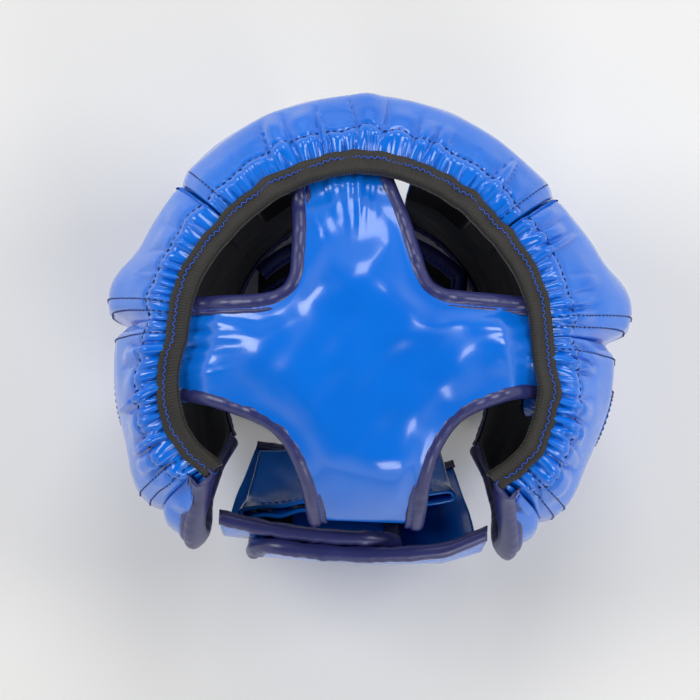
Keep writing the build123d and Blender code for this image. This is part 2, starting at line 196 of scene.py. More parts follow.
def grid_faces(rows, columns, around=False, first=0):
    """Four-cornered faces of a grid of points; around joins its last row to its first."""
    r, c = np.meshgrid(np.arange(rows if around else rows - 1), np.arange(columns - 1), indexing="ij")
    a = r * columns + c
    b = ((r + 1) % rows) * columns + c
    return (np.stack([a, a + 1, b + 1, b], -1).reshape(-1, 4) + first).tolist()


def make_mesh(name, points, faces, material):
    """A smooth object from points in mm and the faces between them."""
    mesh = bpy.data.meshes.new(name)
    where = np.asarray(points, float).reshape(-1, 3) * MM
    where[:, 1] += SHIFT_Y * MM
    mesh.from_pydata(where.tolist(), [], faces)
    mesh.validate()
    mesh.materials.append(material)
    mesh.shade_smooth()
    piece = bpy.data.objects.new(name, mesh)
    bpy.context.scene.collection.objects.link(piece)
    return piece


def turn_outward(piece):
    """Merges a piece's points that coincide and turns its faces outward."""
    work = bmesh.new()
    work.from_mesh(piece.data)
    bmesh.ops.remove_doubles(work, verts=work.verts, dist=1e-7)
    bmesh.ops.recalc_face_normals(work, faces=work.faces)
    work.to_mesh(piece.data)
    work.free()


def tube_grid(name, grid, material, caps=True):
    """Closed piece from a grid whose rows go round a section; caps close its first and last column."""
    rows, columns = grid.shape[:2]
    faces = grid_faces(rows, columns, around=True)
    if caps:
        faces.append([r * columns for r in range(rows)])
        faces.append([r * columns + columns - 1 for r in reversed(range(rows))])
    piece = make_mesh(name, grid, faces, material)
    turn_outward(piece)
    return piece


def srgb(code):
    """Linear colour of an sRGB hex code."""
    parts = [int(code[i:i + 2], 16) / 255 for i in (1, 3, 5)]
    return [*(p / 12.92 if p <= 0.04045 else ((p + 0.055) / 1.055) ** 2.4 for p in parts), 1]


def add(tree, kind, settings=None, links=None):
    """Adds a node with its settings and input values, and links its inputs to (node, output) pairs."""
    node = tree.nodes.new(kind)
    for key, value in (settings or {}).items():
        if key in node.inputs:
            node.inputs[key].default_value = value
        else:
            setattr(node, key, value)
    for key, (source, output) in (links or {}).items():
        tree.links.new(source.outputs[output], node.inputs[key])
    return node


def new_material(name):
    """An empty material: (material, its tree, its shader)."""
    material = bpy.data.materials.new(name)
    material.use_nodes = True
    tree = material.node_tree
    return material, tree, tree.nodes["Principled BSDF"]


def pu_leather():
    """Polyurethane-coated leather, calendered: a glossy saturated coat over a very fine grain, a
    little darker where it is stretched less, with faint cloudy changes in its gloss."""
    material, tree, shader = new_material("glossy_pu_leather")
    at = add(tree, "ShaderNodeTexCoord")
    cloud = add(tree, "ShaderNodeTexNoise", {"Scale": 1 / (45 * MM), "Detail": 3.0},
                {"Vector": (at, "Object")})
    tone = add(tree, "ShaderNodeMix", {"data_type": "RGBA"}, {"Factor": (cloud, "Fac")})
    tone.inputs[6].default_value = srgb("#0064D2")
    tone.inputs[7].default_value = srgb("#0078EA")
    grain = add(tree, "ShaderNodeTexVoronoi", {"Scale": 1 / (0.9 * MM), "Randomness": 1.0},
                {"Vector": (at, "Object")})
    crease = add(tree, "ShaderNodeTexNoise", {"Scale": 1 / (6 * MM), "Detail": 4.0, "Roughness": 0.6},
                 {"Vector": (at, "Object")})
    fine = add(tree, "ShaderNodeBump", {"Strength": 0.10, "Distance": 0.05 * MM},
               {"Height": (grain, "Distance")})
    soft = add(tree, "ShaderNodeBump", {"Strength": 0.35, "Distance": 0.12 * MM},
               {"Height": (crease, "Fac"), "Normal": (fine, "Normal")})
    gloss = add(tree, "ShaderNodeMapRange", {"To Min": 0.19, "To Max": 0.27}, {"Value": (cloud, "Fac")})
    tree.links.new(tone.outputs[2], shader.inputs["Base Color"])
    tree.links.new(gloss.outputs["Result"], shader.inputs["Roughness"])
    tree.links.new(soft.outputs["Normal"], shader.inputs["Normal"])
    shader.inputs["Specular IOR Level"].default_value = 0.5
    shader.inputs["Coat Weight"].default_value = 0.35
    shader.inputs["Coat Roughness"].default_value = 0.07
    return material


def guard_top(angle):
    """Upper edge of the cheek guard: level beside the nose, then rising along the eye to the brow."""
    rise = ease((angle - EYE_EDGE) / 3.0)
    dip = 4 * ease((angle - GUARD_FRONT) / 6) * (1 - ease((angle - 24) / 8))
    return CHEEK_Z - 2 + dip + (BROW_Z - CHEEK_Z + 1) * rise


def pad_grid(start, end, low, rise, end_at=None, front_guard=False):
    """Faces of one padded section, in mm: (outer face, inner face, distance out from the elastic).

    low is the height of its lower edge and rise the height over which that edge is rounded, as
    functions of the angle. end_at gives the section's slanting end as a function of height.
    """
    columns = int(abs(end - start) / STEP) + 2
    base = np.linspace(start, end, columns)
    wall_share = 1 - np.linspace(0, 1, 64) ** 1.15
    bottom = low(base) + rise

    def parts_of(angle):
        side = np.abs(angle)
        rim, top = along(RIM_R, side), along(RIM_Z, side)
        crest = top - 0.08 * (top - along(GIRTH_Z, side)) - 1
        crest = crest - 1.1 * ripple(41, [(9, 0.6), (23, 0.5)], angle)
        if front_guard:
            guard = side < FRONT_SEAM
            edge = guard_top(side)
            crest = np.where(guard, edge - 5, crest)
            rim = np.where(guard, outer_r(angle, edge - 5) - 12, rim)
            top = np.where(guard, edge, top)
        return rim, top, crest

    rim, top, crest = parts_of(base)
    heights = bottom + (crest - bottom) * wall_share[:, None]
    angle = np.broadcast_to(base, heights.shape).copy()
    if end_at is not None:
        share = (base - start) / (end - start)
        angle = start + (end_at(heights) - start) * share
    wall = polar(angle, outer_r(angle, heights), heights)

    strip_angle = angle[0]
    rim, top, crest = parts_of(strip_angle)
    crest_r = outer_r(strip_angle, crest)
    share = np.linspace(0, 1, STRIP_ROWS)[:-1, None]
    strip_r = along([(0, rim - 5), (0.3, rim + 0.3), (0.72, crest_r - 4.2), (1, crest_r)], share + 0 * rim)
    strip_z = along([(0, top - 2.6), (0.3, top - 1.2), (0.72, 0.45 * top + 0.55 * crest + 1.4), (1, crest)],
                    share + 0 * rim)
    strip = polar(strip_angle + 0 * strip_r, strip_r, strip_z)

    foot = angle[-1]
    foot_r, foot_z = outer_r(foot, heights[-1]), low(foot)
    under = [polar(foot, foot_r - rise * inset, foot_z + rise * lift)
             for inset, lift in ((0.04, 0.62), (0.16, 0.3), (0.42, 0.08), (0.85, 0.0))]
    outer = np.concatenate([strip, wall, np.array(under)])

    inner_share = np.linspace(0, 1, 22)[:, None]
    inner_z = low(base) + 0.6 + (top - 4.5 - low(base)) * inner_share
    inner_angle = np.broadcast_to(base, inner_z.shape).copy()
    if end_at is not None:
        inner_angle = start + (end_at(inner_z) - start) * ((base - start) / (end - start))
    inner = polar(inner_angle, inner_r(inner_angle, inner_z) + 1.6, inner_z)

    steps = np.linalg.norm(np.diff(outer, axis=0), axis=-1)
    out = np.concatenate([np.zeros((1, columns)), np.cumsum(steps, axis=0)]) - 5.2
    angles = np.concatenate([strip_angle + 0 * strip_r, angle, np.broadcast_to(foot, (4, columns))])
    return outer, inner, out, angles


def pad_relief(outer, out, angle, ends, seed, calm=False):
    """How far each point of a section's outer face stands out from its plain shape, in mm."""
    side = np.abs(angle)
    fine, f1, f2 = gathers(seed, angle, out, 2.9, 0.03)
    long, l1, l2 = gathers(seed + 1, angle, out, 5.6, 0.06)
    wild = 0.75 + 0.5 * ease((side - 45) / 40)
    near = np.exp(-(np.maximum(out, 0) / (9 + 6 * f2)) ** 2)
    relief = 3.3 * wild * (0.25 + 1.1 * f1) * (fine - 0.6) * near
    reach = 20 + 20 * l2
    fingers = ease((out - 2) / 9) * (1 - ease((out - reach + 4) / 15))
    relief = relief + 4.4 * wild * (0.1 + 1.3 * l1) * (long - 0.5) * fingers
    crest = out[STRIP_ROWS - 1]
    near_stitch = np.exp(-((out - crest) / 1.3) ** 2)
    relief = relief * (1 - 0.35 * near_stitch) - 0.9 * near_stitch
    if calm:
        relief = relief * 0
    x, y, z = outer[..., 0], outer[..., 1], outer[..., 2]
    relief = relief + 1.0 * ripple(seed + 2, [(60, 0.5), (28, 0.25)], x, y, z) * ease((out - 20) / 20)
    radius = np.hypot(x, y)
    for place, depth, width in ends:
        gap = np.abs(angle - place) * math.pi / 180 * radius
        pull = np.clip(1 - gap / width, 0, 1)
        relief = relief * (1 - 0.6 * pull) - depth * pull ** 1.8 * (0.35 + 0.65 * ease(out / 16))
    return relief


leather = pu_leather()
faces_of = {}  # outer face of each section after its relief, for the stitches


def build_pad(name, body, nodes, start, end, low, rise, ends, seed, end_at=None, front_guard=False):
    """One padded section as a closed piece."""
    outer, inner, out, angle = pad_grid(start, end, low, rise, end_at, front_guard)
    relief = pad_relief(outer, out, angle, ends, seed)
    if front_guard:
        side = np.abs(angle)
        plain = pad_relief(outer, out, angle, ends, seed, calm=True)
        relief = np.where(side < FRONT_SEAM + 0.2, plain, relief)
    up = normals(outer)
    if (up * outer).sum() < 0:
        up = -up
    outer = outer + up * relief[..., None]
    faces_of[name] = outer
    grid = np.concatenate([outer, inner])
    piece = tube_grid(name, grid, leather)
    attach(piece, body)
    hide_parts(*nodes)
    return piece


def brow_low(angle):
    return BROW_Z + 0 * np.asarray(angle)


def side_low(angle):
    return along(NECK_Z, np.abs(angle)) + 1.6


def ear_end(z):
    return np.minimum(REAR_SEAM - 0.2, along(REAR_EDGE, z) - 0.3)


def corner_end(z):
    return np.maximum(REAR_SEAM + 0.5, along(REAR_EDGE, z) - 0.3)


def corner_low(angle):
    return CORNER_LOW + 0 * np.asarray(angle)


def mirrored(end, sign):
    """A section's slanting end on the right (1) or the left (-1)."""
    return lambda z: sign * end(z)


build_pad("forehead_pad", "shell", ["forehead_cover", "forehead_foam"], -FRONT_SEAM + SEAM_GAP,
          FRONT_SEAM - SEAM_GAP, brow_low, LOW_ROUND, [(-FRONT_SEAM, 2.6, 9), (FRONT_SEAM, 2.6, 9)], 11)
for side, sign in (("right", 1), ("left", -1)):
    seed = 20 if sign > 0 else 50
    build_pad(side + "_cheek_pad", "shell", [side + "_cheek_cover", side + "_cheek_foam"],
              sign * GUARD_FRONT, sign * (NOTCH - SEAM_GAP), side_low, LOW_ROUND,
              [(sign * NOTCH, 3.0, 9), (sign * GUARD_FRONT, 4.0, 9)] + [(sign * FRONT_SEAM, 2.2, 7)], seed,
              front_guard=True)
    build_pad(side + "_ear_pad", "shell", [side + "_ear_cover", side + "_ear_foam"],
              sign * (NOTCH + SEAM_GAP), sign * (REAR_SEAM - 0.2), side_low, LOW_ROUND,
              [(sign * NOTCH, 3.0, 9), (sign * REAR_SEAM, 2.8, 8)], seed + 5,
              end_at=mirrored(ear_end, sign))
    build_pad(side + "_rear_corner_pad", "shell", [side + "_rear_corner_cover", side + "_rear_corner_foam"],
              sign * (REAR_SEAM + 0.2), sign * CORNER_END, corner_low, LOW_ROUND,
              [(sign * REAR_SEAM, 2.8, 8)], seed + 10,
              end_at=mirrored(corner_end, sign))

# --- Velvet lining -------------------------------------------------------------------------
# Black brushed velvet glued inside each pad and turned in under the elastic and the tapes.
# It is soft and takes nearly all the light; the pile gives a faint grey sheen at its edges.


def velvet():
    """Polyester velvet, brushed: black, fully rough, with a short pile that catches a little light."""
    material, tree, shader = new_material("brushed_velvet")
    at = add(tree, "ShaderNodeTexCoord")
    pile = add(tree, "ShaderNodeTexNoise", {"Scale": 1 / (0.8 * MM), "Detail": 2.0},
               {"Vector": (at, "Object")})
    nap = add(tree, "ShaderNodeTexNoise", {"Scale": 1 / (30 * MM), "Detail": 3.0},
              {"Vector": (at, "Object")})
    tone = add(tree, "ShaderNodeMix", {"data_type": "RGBA"}, {"Factor": (nap, "Fac")})
    tone.inputs[6].default_value = srgb("#08080A")
    tone.inputs[7].default_value = srgb("#17171B")
    bump = add(tree, "ShaderNodeBump", {"Strength": 0.5, "Distance": 0.2 * MM}, {"Height": (pile, "Fac")})
    tree.links.new(tone.outputs[2], shader.inputs["Base Color"])
    tree.links.new(bump.outputs["Normal"], shader.inputs["Normal"])
    shader.inputs["Roughness"].default_value = 0.95
    shader.inputs["Specular IOR Level"].default_value = 0.15
    shader.inputs["Sheen Weight"].default_value = 0.12
    shader.inputs["Sheen Roughness"].default_value = 0.4
    return material


pile_cloth = velvet()


def build_lining(name, start, end, low, high, nodes, end_at=None):
    """Velvet sheet between two angles, from low up to high."""
    columns = int(abs(end - start) / 1.0) + 2
    base = np.linspace(start, end, columns)
    z = low(base) + (high(base) - low(base)) * np.linspace(0, 1, 60)[:, None]
    angle = np.broadcast_to(base, z.shape)
    if end_at is not None:
        angle = start + (end_at(z) - start) * (base - start) / (end - start)
    r = inner_r(angle, z) + 0.4 * ripple(5, [(50, 0.6), (20, 0.3)], angle * 2, z)
    grid = polar(angle, r, z)
    if "cheek" in name:
        # turned out over the top of the cheek guard
        guard = np.abs(base) < FRONT_SEAM
        turned = []
        for share in (0.03, 0.2, 0.45, 0.7, 1.0):
            out = np.where(guard, (outer_r(base, z[-1]) - 8 - r[-1]) * share, 0.6 * share)
            lift = np.where(guard, 4.0 * ease(share * 4), 0.3 * share)
            turned.append(polar(base, r[-1] + out, z[-1] + lift))
        grid = np.concatenate([grid, turned])
    piece = make_mesh(name, grid, grid_faces(*grid.shape[:2]), pile_cloth)
    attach(piece, "shell")
    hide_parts(*nodes)
    return piece


def under_rim(angle):
    return along(RIM_Z, np.abs(angle)) - 5


def cheek_high(angle):
    side = np.abs(angle)
    return np.where(side < FRONT_SEAM, guard_top(side) - 3, under_rim(angle))


build_lining("forehead_lining_cloth", -FRONT_SEAM, FRONT_SEAM, lambda a: brow_low(a) + 1, under_rim,
             ["forehead_lining"])
for side, sign in (("right", 1), ("left", -1)):
    build_lining(side + "_cheek_lining_cloth", sign * (GUARD_FRONT + 0.5), sign * NOTCH, side_low, cheek_high,
                 [side + "_cheek_lining"])
    build_lining(side + "_ear_lining_cloth", sign * NOTCH, sign * REAR_SEAM, side_low, under_rim,
                 [side + "_ear_lining"], end_at=mirrored(ear_end, sign))
    build_lining(side + "_rear_corner_lining_cloth", sign * REAR_SEAM, sign * CORNER_END, corner_low,
                 under_rim, [side + "_rear_corner_lining"], end_at=mirrored(corner_end, sign))

# --- Rim elastic ---------------------------------------------------------------------------
# Black fold-over elastic, woven with ribs across it, folded over the gathered edge and sewn
# with a blue zigzag. It curls inward, so the fold stands up as a ridge.
ELASTIC_W = 9.5  # mm of the leg on the leather
RIB = 1.5  # mm between ribs, coarser than the real weave so that it shows
RIB_DEPTH = 0.28


def ribbed_elastic():
    """Woven polyester elastic: a dark warm grey, matt, with a faint dusty sheen."""
    material, tree, shader = new_material("ribbed_elastic")
    at = add(tree, "ShaderNodeTexCoord")
    yarn = add(tree, "ShaderNodeTexNoise", {"Scale": 1 / (0.7 * MM), "Detail": 2.0},
               {"Vector": (at, "Object")})
    patchy = add(tree, "ShaderNodeTexNoise", {"Scale": 1 / (14 * MM), "Detail": 2.0},
                 {"Vector": (at, "Object")})
    tone = add(tree, "ShaderNodeMix", {"data_type": "RGBA"}, {"Factor": (patchy, "Fac")})
    tone.inputs[6].default_value = srgb("#141310")
    tone.inputs[7].default_value = srgb("#2C2923")
    bump = add(tree, "ShaderNodeBump", {"Strength": 0.6, "Distance": 0.15 * MM}, {"Height": (yarn, "Fac")})
    tree.links.new(tone.outputs[2], shader.inputs["Base Color"])
    tree.links.new(bump.outputs["Normal"], shader.inputs["Normal"])
    shader.inputs["Roughness"].default_value = 0.6
    shader.inputs["Sheen Weight"].default_value = 0.25
    shader.inputs["Sheen Roughness"].default_value = 0.4
    return material


elastic_cloth = ribbed_elastic()


def rim_wave(angle):
    """How far the elastic is drawn in and out by the gathers, in mm."""
    return 0.7 * ripple(61, [(7, 0.5), (16, 0.5), (40, 0.5)], angle)


def elastic_section(angle):
    """(radius, height) round the elastic: top leg, rolled fold, inner leg, and back inside it."""
    side = np.abs(angle)
    rim, top = along(RIM_R, side) + rim_wave(angle), along(RIM_Z, side) + 0.5 * ripple(62, [(12, 0.6)], angle)
    fold = along(RIM_R, side) - ELASTIC_W + 0.3 * rim_wave(angle)
    top_leg = [(rim + 0.6, top - 1.0), (rim + 0.6, top + 0.5), (rim - 1.0, top + 1.1),
               (rim - 2.6, top + 0.9), (rim - 4.4, top + 0.6)]
    roll = [(fold + 3.4, top + 1.2), (fold + 1.9, top + 2.3), (fold + 0.5, top + 2.1), (fold - 0.7, top + 0.9)]
    inner_leg = [(fold - 1.1, top - 1.0), (fold - 0.9, top - 4.0), (fold - 0.4, top - 8.0)]
    back = [(fold + 0.8, top - 8.0), (fold + 0.6, top - 3.0), (fold + 2.2, top - 1.0)]
    return top_leg + roll + inner_leg + back


elastic_angles = np.linspace(-133.0, 133.0, 1500)
section = elastic_section(elastic_angles)
elastic_grid = np.array([polar(elastic_angles, r, z) for r, z in section])
rib_push = RIB_DEPTH * np.sin(2 * math.pi * elastic_angles * math.pi / 180 * 95 / RIB)
rib_share = np.array([0.6] * 12 + [0] * 3)[:, None]  # none on the hidden back
elastic_grid += normals(elastic_grid) * (rib_share * rib_push)[..., None]
elastic = tube_grid("rim_elastic_band", elastic_grid, elastic_cloth)
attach(elastic, "shell")
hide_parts("rim_elastic")

# --- Stitches ------------------------------------------------------------------------------
# Thick bonded nylon thread: navy where it closes the pads, bright blue on the elastic and the
# tapes. Each stitch is a short rounded bar whose ends go down into the leather.


def nylon_thread(name, code):
    """Bonded nylon sewing thread, twisted: a satin gloss over fine slanting plies, with painted shade in the
    grooves between the plies and a painted highlight on their crests.
    """
    material, tree, shader = new_material(name)
    at = add(tree, "ShaderNodeTexCoord")
    ply = add(tree, "ShaderNodeTexWave", {"Scale": 1 / (0.9 * MM), "Distortion": 1.0},
              {"Vector": (at, "Object")})
    bump = add(tree, "ShaderNodeBump", {"Strength": 0.4, "Distance": 0.08 * MM}, {"Height": (ply, "Fac")})
    tone = add(tree, "ShaderNodeHueSaturation", {"Color": srgb(code)})
    # painted shade and highlight: the thread's brightness follows the ply waves, darker in their grooves and
    # lighter on their crests
    painted_ply_shade = add(tree, "ShaderNodeMapRange", {"To Min": 0.75, "To Max": 1.15}, {"Value": (ply, "Fac")})
    tree.links.new(painted_ply_shade.outputs["Result"], tone.inputs["Value"])
    tree.links.new(tone.outputs["Color"], shader.inputs["Base Color"])
    tree.links.new(bump.outputs["Normal"], shader.inputs["Normal"])
    shader.inputs["Roughness"].default_value = 0.45
    return material


navy_thread = nylon_thread("navy_nylon_thread", "#0A2468")
blue_thread = nylon_thread("bright_blue_nylon_thread", "#2B62E0")


def unit(v):
    return v / np.maximum(np.linalg.norm(v, axis=-1, keepdims=True), 1e-9)


def stitches(name, starts, ends, ups, thick, material, body):
    """One piece holding a stitch from each start to its end, in mm, lying on the face that ups leaves."""
    way = unit(ends - starts)
    side = unit(np.cross(ups, way))
    up = np.cross(way, side)
    places = np.array([0.0, 0.14, 0.5, 0.86, 1.0])
    sizes = np.array([0.35, 0.9, 1.0, 0.9, 0.35]) * thick / 2
    lifts = thick * np.array([-0.75, 0.1, 0.4, 0.1, -0.75])
    turns = np.arange(6) * math.pi / 3
    middle = starts[:, None] + (ends - starts)[:, None] * places[:, None] + up[:, None] * lifts[:, None]
    ring = side[:, None, None] * np.cos(turns)[:, None] + up[:, None, None] * np.sin(turns)[:, None]
    points = middle[:, :, None] + ring * sizes[:, None, None]
    faces = []
    for stitch in range(len(starts)):
        first = stitch * 30
        for r in range(4):
            for t in range(6):
                a, b = first + r * 6 + t, first + r * 6 + (t + 1) % 6
                faces.append([a, b, b + 6, a + 6])
        faces.append([first + t for t in reversed(range(6))])
        faces.append([first + 24 + t for t in range(6)])
    piece = make_mesh(name, points, faces, material)
    if isinstance(body, str):
        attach(piece, body)
    return piece


def spaced(line, ups, pitch, share):
    """Starts, ends and face normals of stitches of one pitch along a line; share of it is thread."""
    arc = np.concatenate([[0], np.cumsum(np.linalg.norm(np.diff(line, axis=0), axis=-1))])
    at = np.arange(pitch * 0.3, arc[-1] - pitch, pitch)


    def pick(values, where):
        return np.stack([np.interp(where, arc, values[:, k]) for k in range(3)], -1)

    return pick(line, at), pick(line, at + pitch * share), unit(pick(ups, at))


def sew(name, line, ups, body, material, pitch=3.5, share=0.72, thick=0.8):
    starts, ends, up = spaced(line, ups, pitch, share)
    return stitches(name, starts, ends, up, thick, material, body)


def face_normals(name):
    up = normals(faces_of[name])
    return up if (up[STRIP_ROWS:] * faces_of[name][STRIP_ROWS:]).sum() > 0 else -up


for name, grid in list(faces_of.items()):
    up = face_normals(name)
    guard_columns = 0
    if "cheek" in name:
        guard_columns = int((FRONT_SEAM - GUARD_FRONT) / STEP) + 3
    line, line_up = grid[STRIP_ROWS - 1, guard_columns:], up[STRIP_ROWS - 1, guard_columns:]
    sew(name.replace("pad", "crest_stitches"), line, line_up, "shell", navy_thread)
    from_end = 8
    rows = slice(4, 62)
    if name == "forehead_pad":
        sew("forehead_left_seam_stitches", grid[rows, from_end], up[rows, from_end], "shell", navy_thread)
        sew("forehead_right_seam_stitches", grid[rows, -from_end], up[rows, -from_end], "shell", navy_thread)
    elif "corner" not in name:
        for number, column in enumerate((-7, -14)):
            sew(name.replace("pad", f"rear_seam_stitches_{number + 1}"), grid[rows, column], up[rows, column],
                "shell", navy_thread)
    if "ear" in name and "rear" not in name:
        sew(name.replace("pad", "front_seam_stitches"), grid[rows, from_end], up[rows, from_end], "shell",
            navy_thread)

ZIGZAG_PITCH = 1.05  # degrees
zigzag_at = np.arange(-131.0, 131.0, ZIGZAG_PITCH)
zig = np.arange(len(zigzag_at)) % 2
rim_there, top_there = along(RIM_R, np.abs(zigzag_at)), along(RIM_Z, np.abs(zigzag_at))
zig_line = polar(zigzag_at, rim_there + rim_wave(zigzag_at) - 2.2 - 1.5 * zig, top_there + 1.0)
zig_up = np.array([[0, 0, 1.0]] * (len(zig_line) - 1))
stitches("rim_elastic_zigzag", zig_line[:-1], zig_line[1:], zig_up, 0.45, blue_thread, "shell")

# --- Navy bias tape ------------------------------------------------------------------------
# Leather tape folded in half over every cut edge and sewn through near its inner edge. The
# padding under it makes a rounded roll along the fold and leaves a flat flange past the stitches.
TAPE_W = 8.5  # mm on each face
STITCH_ROW = 4  # the point of the tape's section that the stitches pull down


def tape_leather():
    """Navy polyurethane bias tape: a satin gloss that is brightest on the roll, finely creased."""
    material, tree, shader = new_material("navy_pu_tape")
    at = add(tree, "ShaderNodeTexCoord")
    crease = add(tree, "ShaderNodeTexNoise", {"Scale": 1 / (2.2 * MM), "Detail": 4.0, "Roughness": 0.65},
                 {"Vector": (at, "Object")})
    cloud = add(tree, "ShaderNodeTexNoise", {"Scale": 1 / (18 * MM), "Detail": 2.0},
                {"Vector": (at, "Object")})
    tone = add(tree, "ShaderNodeMix", {"data_type": "RGBA"}, {"Factor": (cloud, "Fac")})
    tone.inputs[6].default_value = srgb("#23265A")
    tone.inputs[7].default_value = srgb("#343874")
    bump = add(tree, "ShaderNodeBump", {"Strength": 0.55, "Distance": 0.22 * MM}, {"Height": (crease, "Fac")})
    tree.links.new(tone.outputs[2], shader.inputs["Base Color"])
    tree.links.new(bump.outputs["Normal"], shader.inputs["Normal"])
    shader.inputs["Roughness"].default_value = 0.34
    shader.inputs["Specular IOR Level"].default_value = 0.6
    return material


navy_tape = tape_leather()


def smooth_line(corners, step=1.2):
    """Even points of a smooth line through a few corners."""
    corners = np.array(corners, float)
    arc = np.concatenate([[0], np.cumsum(np.linalg.norm(np.diff(corners, axis=0), axis=-1))])
    at = np.linspace(0, arc[-1], int(arc[-1] / step) + 2)
    return np.stack([along(list(zip(arc, corners[:, k])), at) for k in range(corners.shape[1])], -1)


def build_tape(name, edge, inward, up, half, body, nodes, seed, faces_sewn=(1,)):
    """Tape folded over a panel, and its stitches. edge is the panel's cut edge, inward and up are unit vectors
    there, and half is half the panel's thickness. Without a body the pieces are returned unattached.
    """
    width = TAPE_W
    arc = np.concatenate([[0], np.cumsum(np.linalg.norm(np.diff(edge, axis=0), axis=-1))])
    sway = 0.35 * ripple(seed, [(12, 0.6), (30, 0.6)], arc)
    roll = 0.3 * ripple(seed + 1, [(7, 0.5), (17, 0.6)], arc)
    upper = [(width, -0.1), (width + sway, 0.55), (width - 1.1 + sway, 0.85), (width - 1.9, 0.7),
             (width - 2.4, 0.3), (width - 3.2, 0.95), (0.56 * width, 1.5 + roll), (0.36 * width, 1.75 + roll),
             (0.18 * width, 1.55 + roll), (0.3, 0.8 + 0.5 * roll), (-0.7, -0.25 * half)]
    lower = [(a, b) for a, b in reversed(upper)]
    rows = [edge + inward * np.reshape(a, (-1, 1)) + up * np.reshape(half + b, (-1, 1)) for a, b in upper]
    rows.append(edge - inward * 1.15)
    rows += [edge + inward * np.reshape(a, (-1, 1)) - up * np.reshape(half + b, (-1, 1)) for a, b in lower]
    within = np.reshape(half - 0.3, (-1, 1))
    rows += [edge + inward * 1.0 - up * within, edge + inward * 1.0 + up * within]
    grid = np.array([r + 0 * edge for r in rows])
    piece = tube_grid(name, grid, navy_tape)
    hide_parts(*nodes)
    made = [piece]
    for face in faces_sewn:
        row = STITCH_ROW if face > 0 else 2 * len(upper) - STITCH_ROW
        made.append(sew(f"{name}_stitches" + ("" if face > 0 else "_under"), grid[row], up * face, None,
                        blue_thread, thick=0.6))
    if body:
        for p in made:
            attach(p, body)
    return made


for side, sign in (("right", 1), ("left", -1)):
    at = np.linspace(GUARD_FRONT + 0.5, 121, 130) * sign
    low = along(NECK_Z, np.abs(at))
    inside, outside = along(NECK_R, np.abs(at)) - 0.6, outer_r(at, low + 5) + 0.3
    edge = polar(at, (inside + outside) / 2, low + 1.3)
    radial = unit(polar(at, 1 + 0 * at, 0 * at))
    half_there = ((outside - inside) / 2).mean()
    build_tape(side + "_neck_tape", edge, np.array([[0, 0, 1.0]] * len(at)), radial, half_there, "shell",
               [side + "_neck_binding"], 71, faces_sewn=(1, -1))

    z = np.linspace(24, 171, 90)
    end = along(REAR_EDGE, z)
    thick = outer_r(sign * end, z) - inner_r(end, z)
    middle = (outer_r(sign * end, z) + inner_r(end, z)) / 2
    edge = polar(sign * (end + 1.6), middle, z)
    forward = unit(polar(sign * (end - 90), 1 + 0 * z, 0 * z))
    radial = unit(polar(sign * end, 1 + 0 * z, 0 * z))
    build_tape(side + "_rear_edge_tape", edge, forward, radial, thick / 2 + 0.4, "shell",
               [side + "_rear_edge_binding"], 75 + sign, faces_sewn=(1, -1))

# --- Crown cross ---------------------------------------------------------------------------
# Lightly padded cross over the top of the head. The ends of its front and side arms are drawn
# up in puckers under the elastic; the rear arm's end is cut straight and closes on the straps.
ARM_END_Y = -87.0
CROWN_HALF = 2.6  # mm, half the cross's thickness at its taped edges
CROWN_EDGES = {
    "front_right": [(7, 97), (11.6, 83), (20.6, 61), (26.5, 44), (30.5, 33), (34, 28), (41.6, 25), (58, 24.6),
                    (96, 25)],
    "rear_right": [(96, -22), (81, -23), (62, -29), (50, -36), (43, -45), (38.5, -56), (36, -70), (35, -87)],
    "rear_left": [(-21.5, -87), (-24, -74), (-28, -62), (-34, -51), (-43, -43), (-58, -37), (-81, -31),
                  (-96, -29)],
    "front_left": [(-96, 18), (-80, 18.4), (-56, 19), (-44, 20.5), (-36.5, 25), (-33.8, 33), (-33.6, 50),
                   (-36, 75), (-38, 97)],
}


def crown_height(x, y):
    """Upper face of the crown; its rear arm bends down behind the head."""
    fall = np.where(y > 0, 21 * (y / 88) ** 2, 16 * (y / 60) ** 2)
    fall = fall + np.where(y < -55, 0.021 * (-55 - y) ** 2, 0)
    return 213 - fall - 22 * (x / 88) ** 2


def crown_dive(x, y):
    """How far an arm's end goes down to pass under the elastic."""
    radius, angle = np.hypot(x, y), np.degrees(np.arctan2(np.abs(x), y))
    reach = along(RIM_R, angle) - ELASTIC_W
    target = along(RIM_Z, angle) - 1.5
    push = ease((radius - reach + 16) / 17) * (y > -45)
    return np.maximum(crown_height(x, y) + 1.6 - target, 0) * push


crown_edges = {name: smooth_line(corners) for name, corners in CROWN_EDGES.items()}
crown_outline = np.concatenate(list(crown_edges.values()))
CROWN_STEP = 1.35


def nearest_on(outline, points):
    """(distance to a closed outline, nearest place on it, whether inside) for plan points."""
    best, place = np.full(len(points), 1e9), np.zeros_like(points)
    inside = np.zeros(len(points), bool)
    for a, b in zip(outline, np.roll(outline, -1, axis=0)):
        way = b - a
        t = np.clip(((points - a) @ way) / max(way @ way, 1e-9), 0, 1)
        here = a + t[:, None] * way
        gap = np.linalg.norm(points - here, axis=-1)
        closer = gap < best
        best, place = np.where(closer, gap, best), np.where(closer[:, None], here, place)
        if a[1] != b[1]:
            crosses = ((a[1] > points[:, 1]) != (b[1] > points[:, 1]))
            x = a[0] + (points[:, 1] - a[1]) / (b[1] - a[1]) * way[0]
            inside ^= crosses & (points[:, 0] < x)
    return best, place, inside


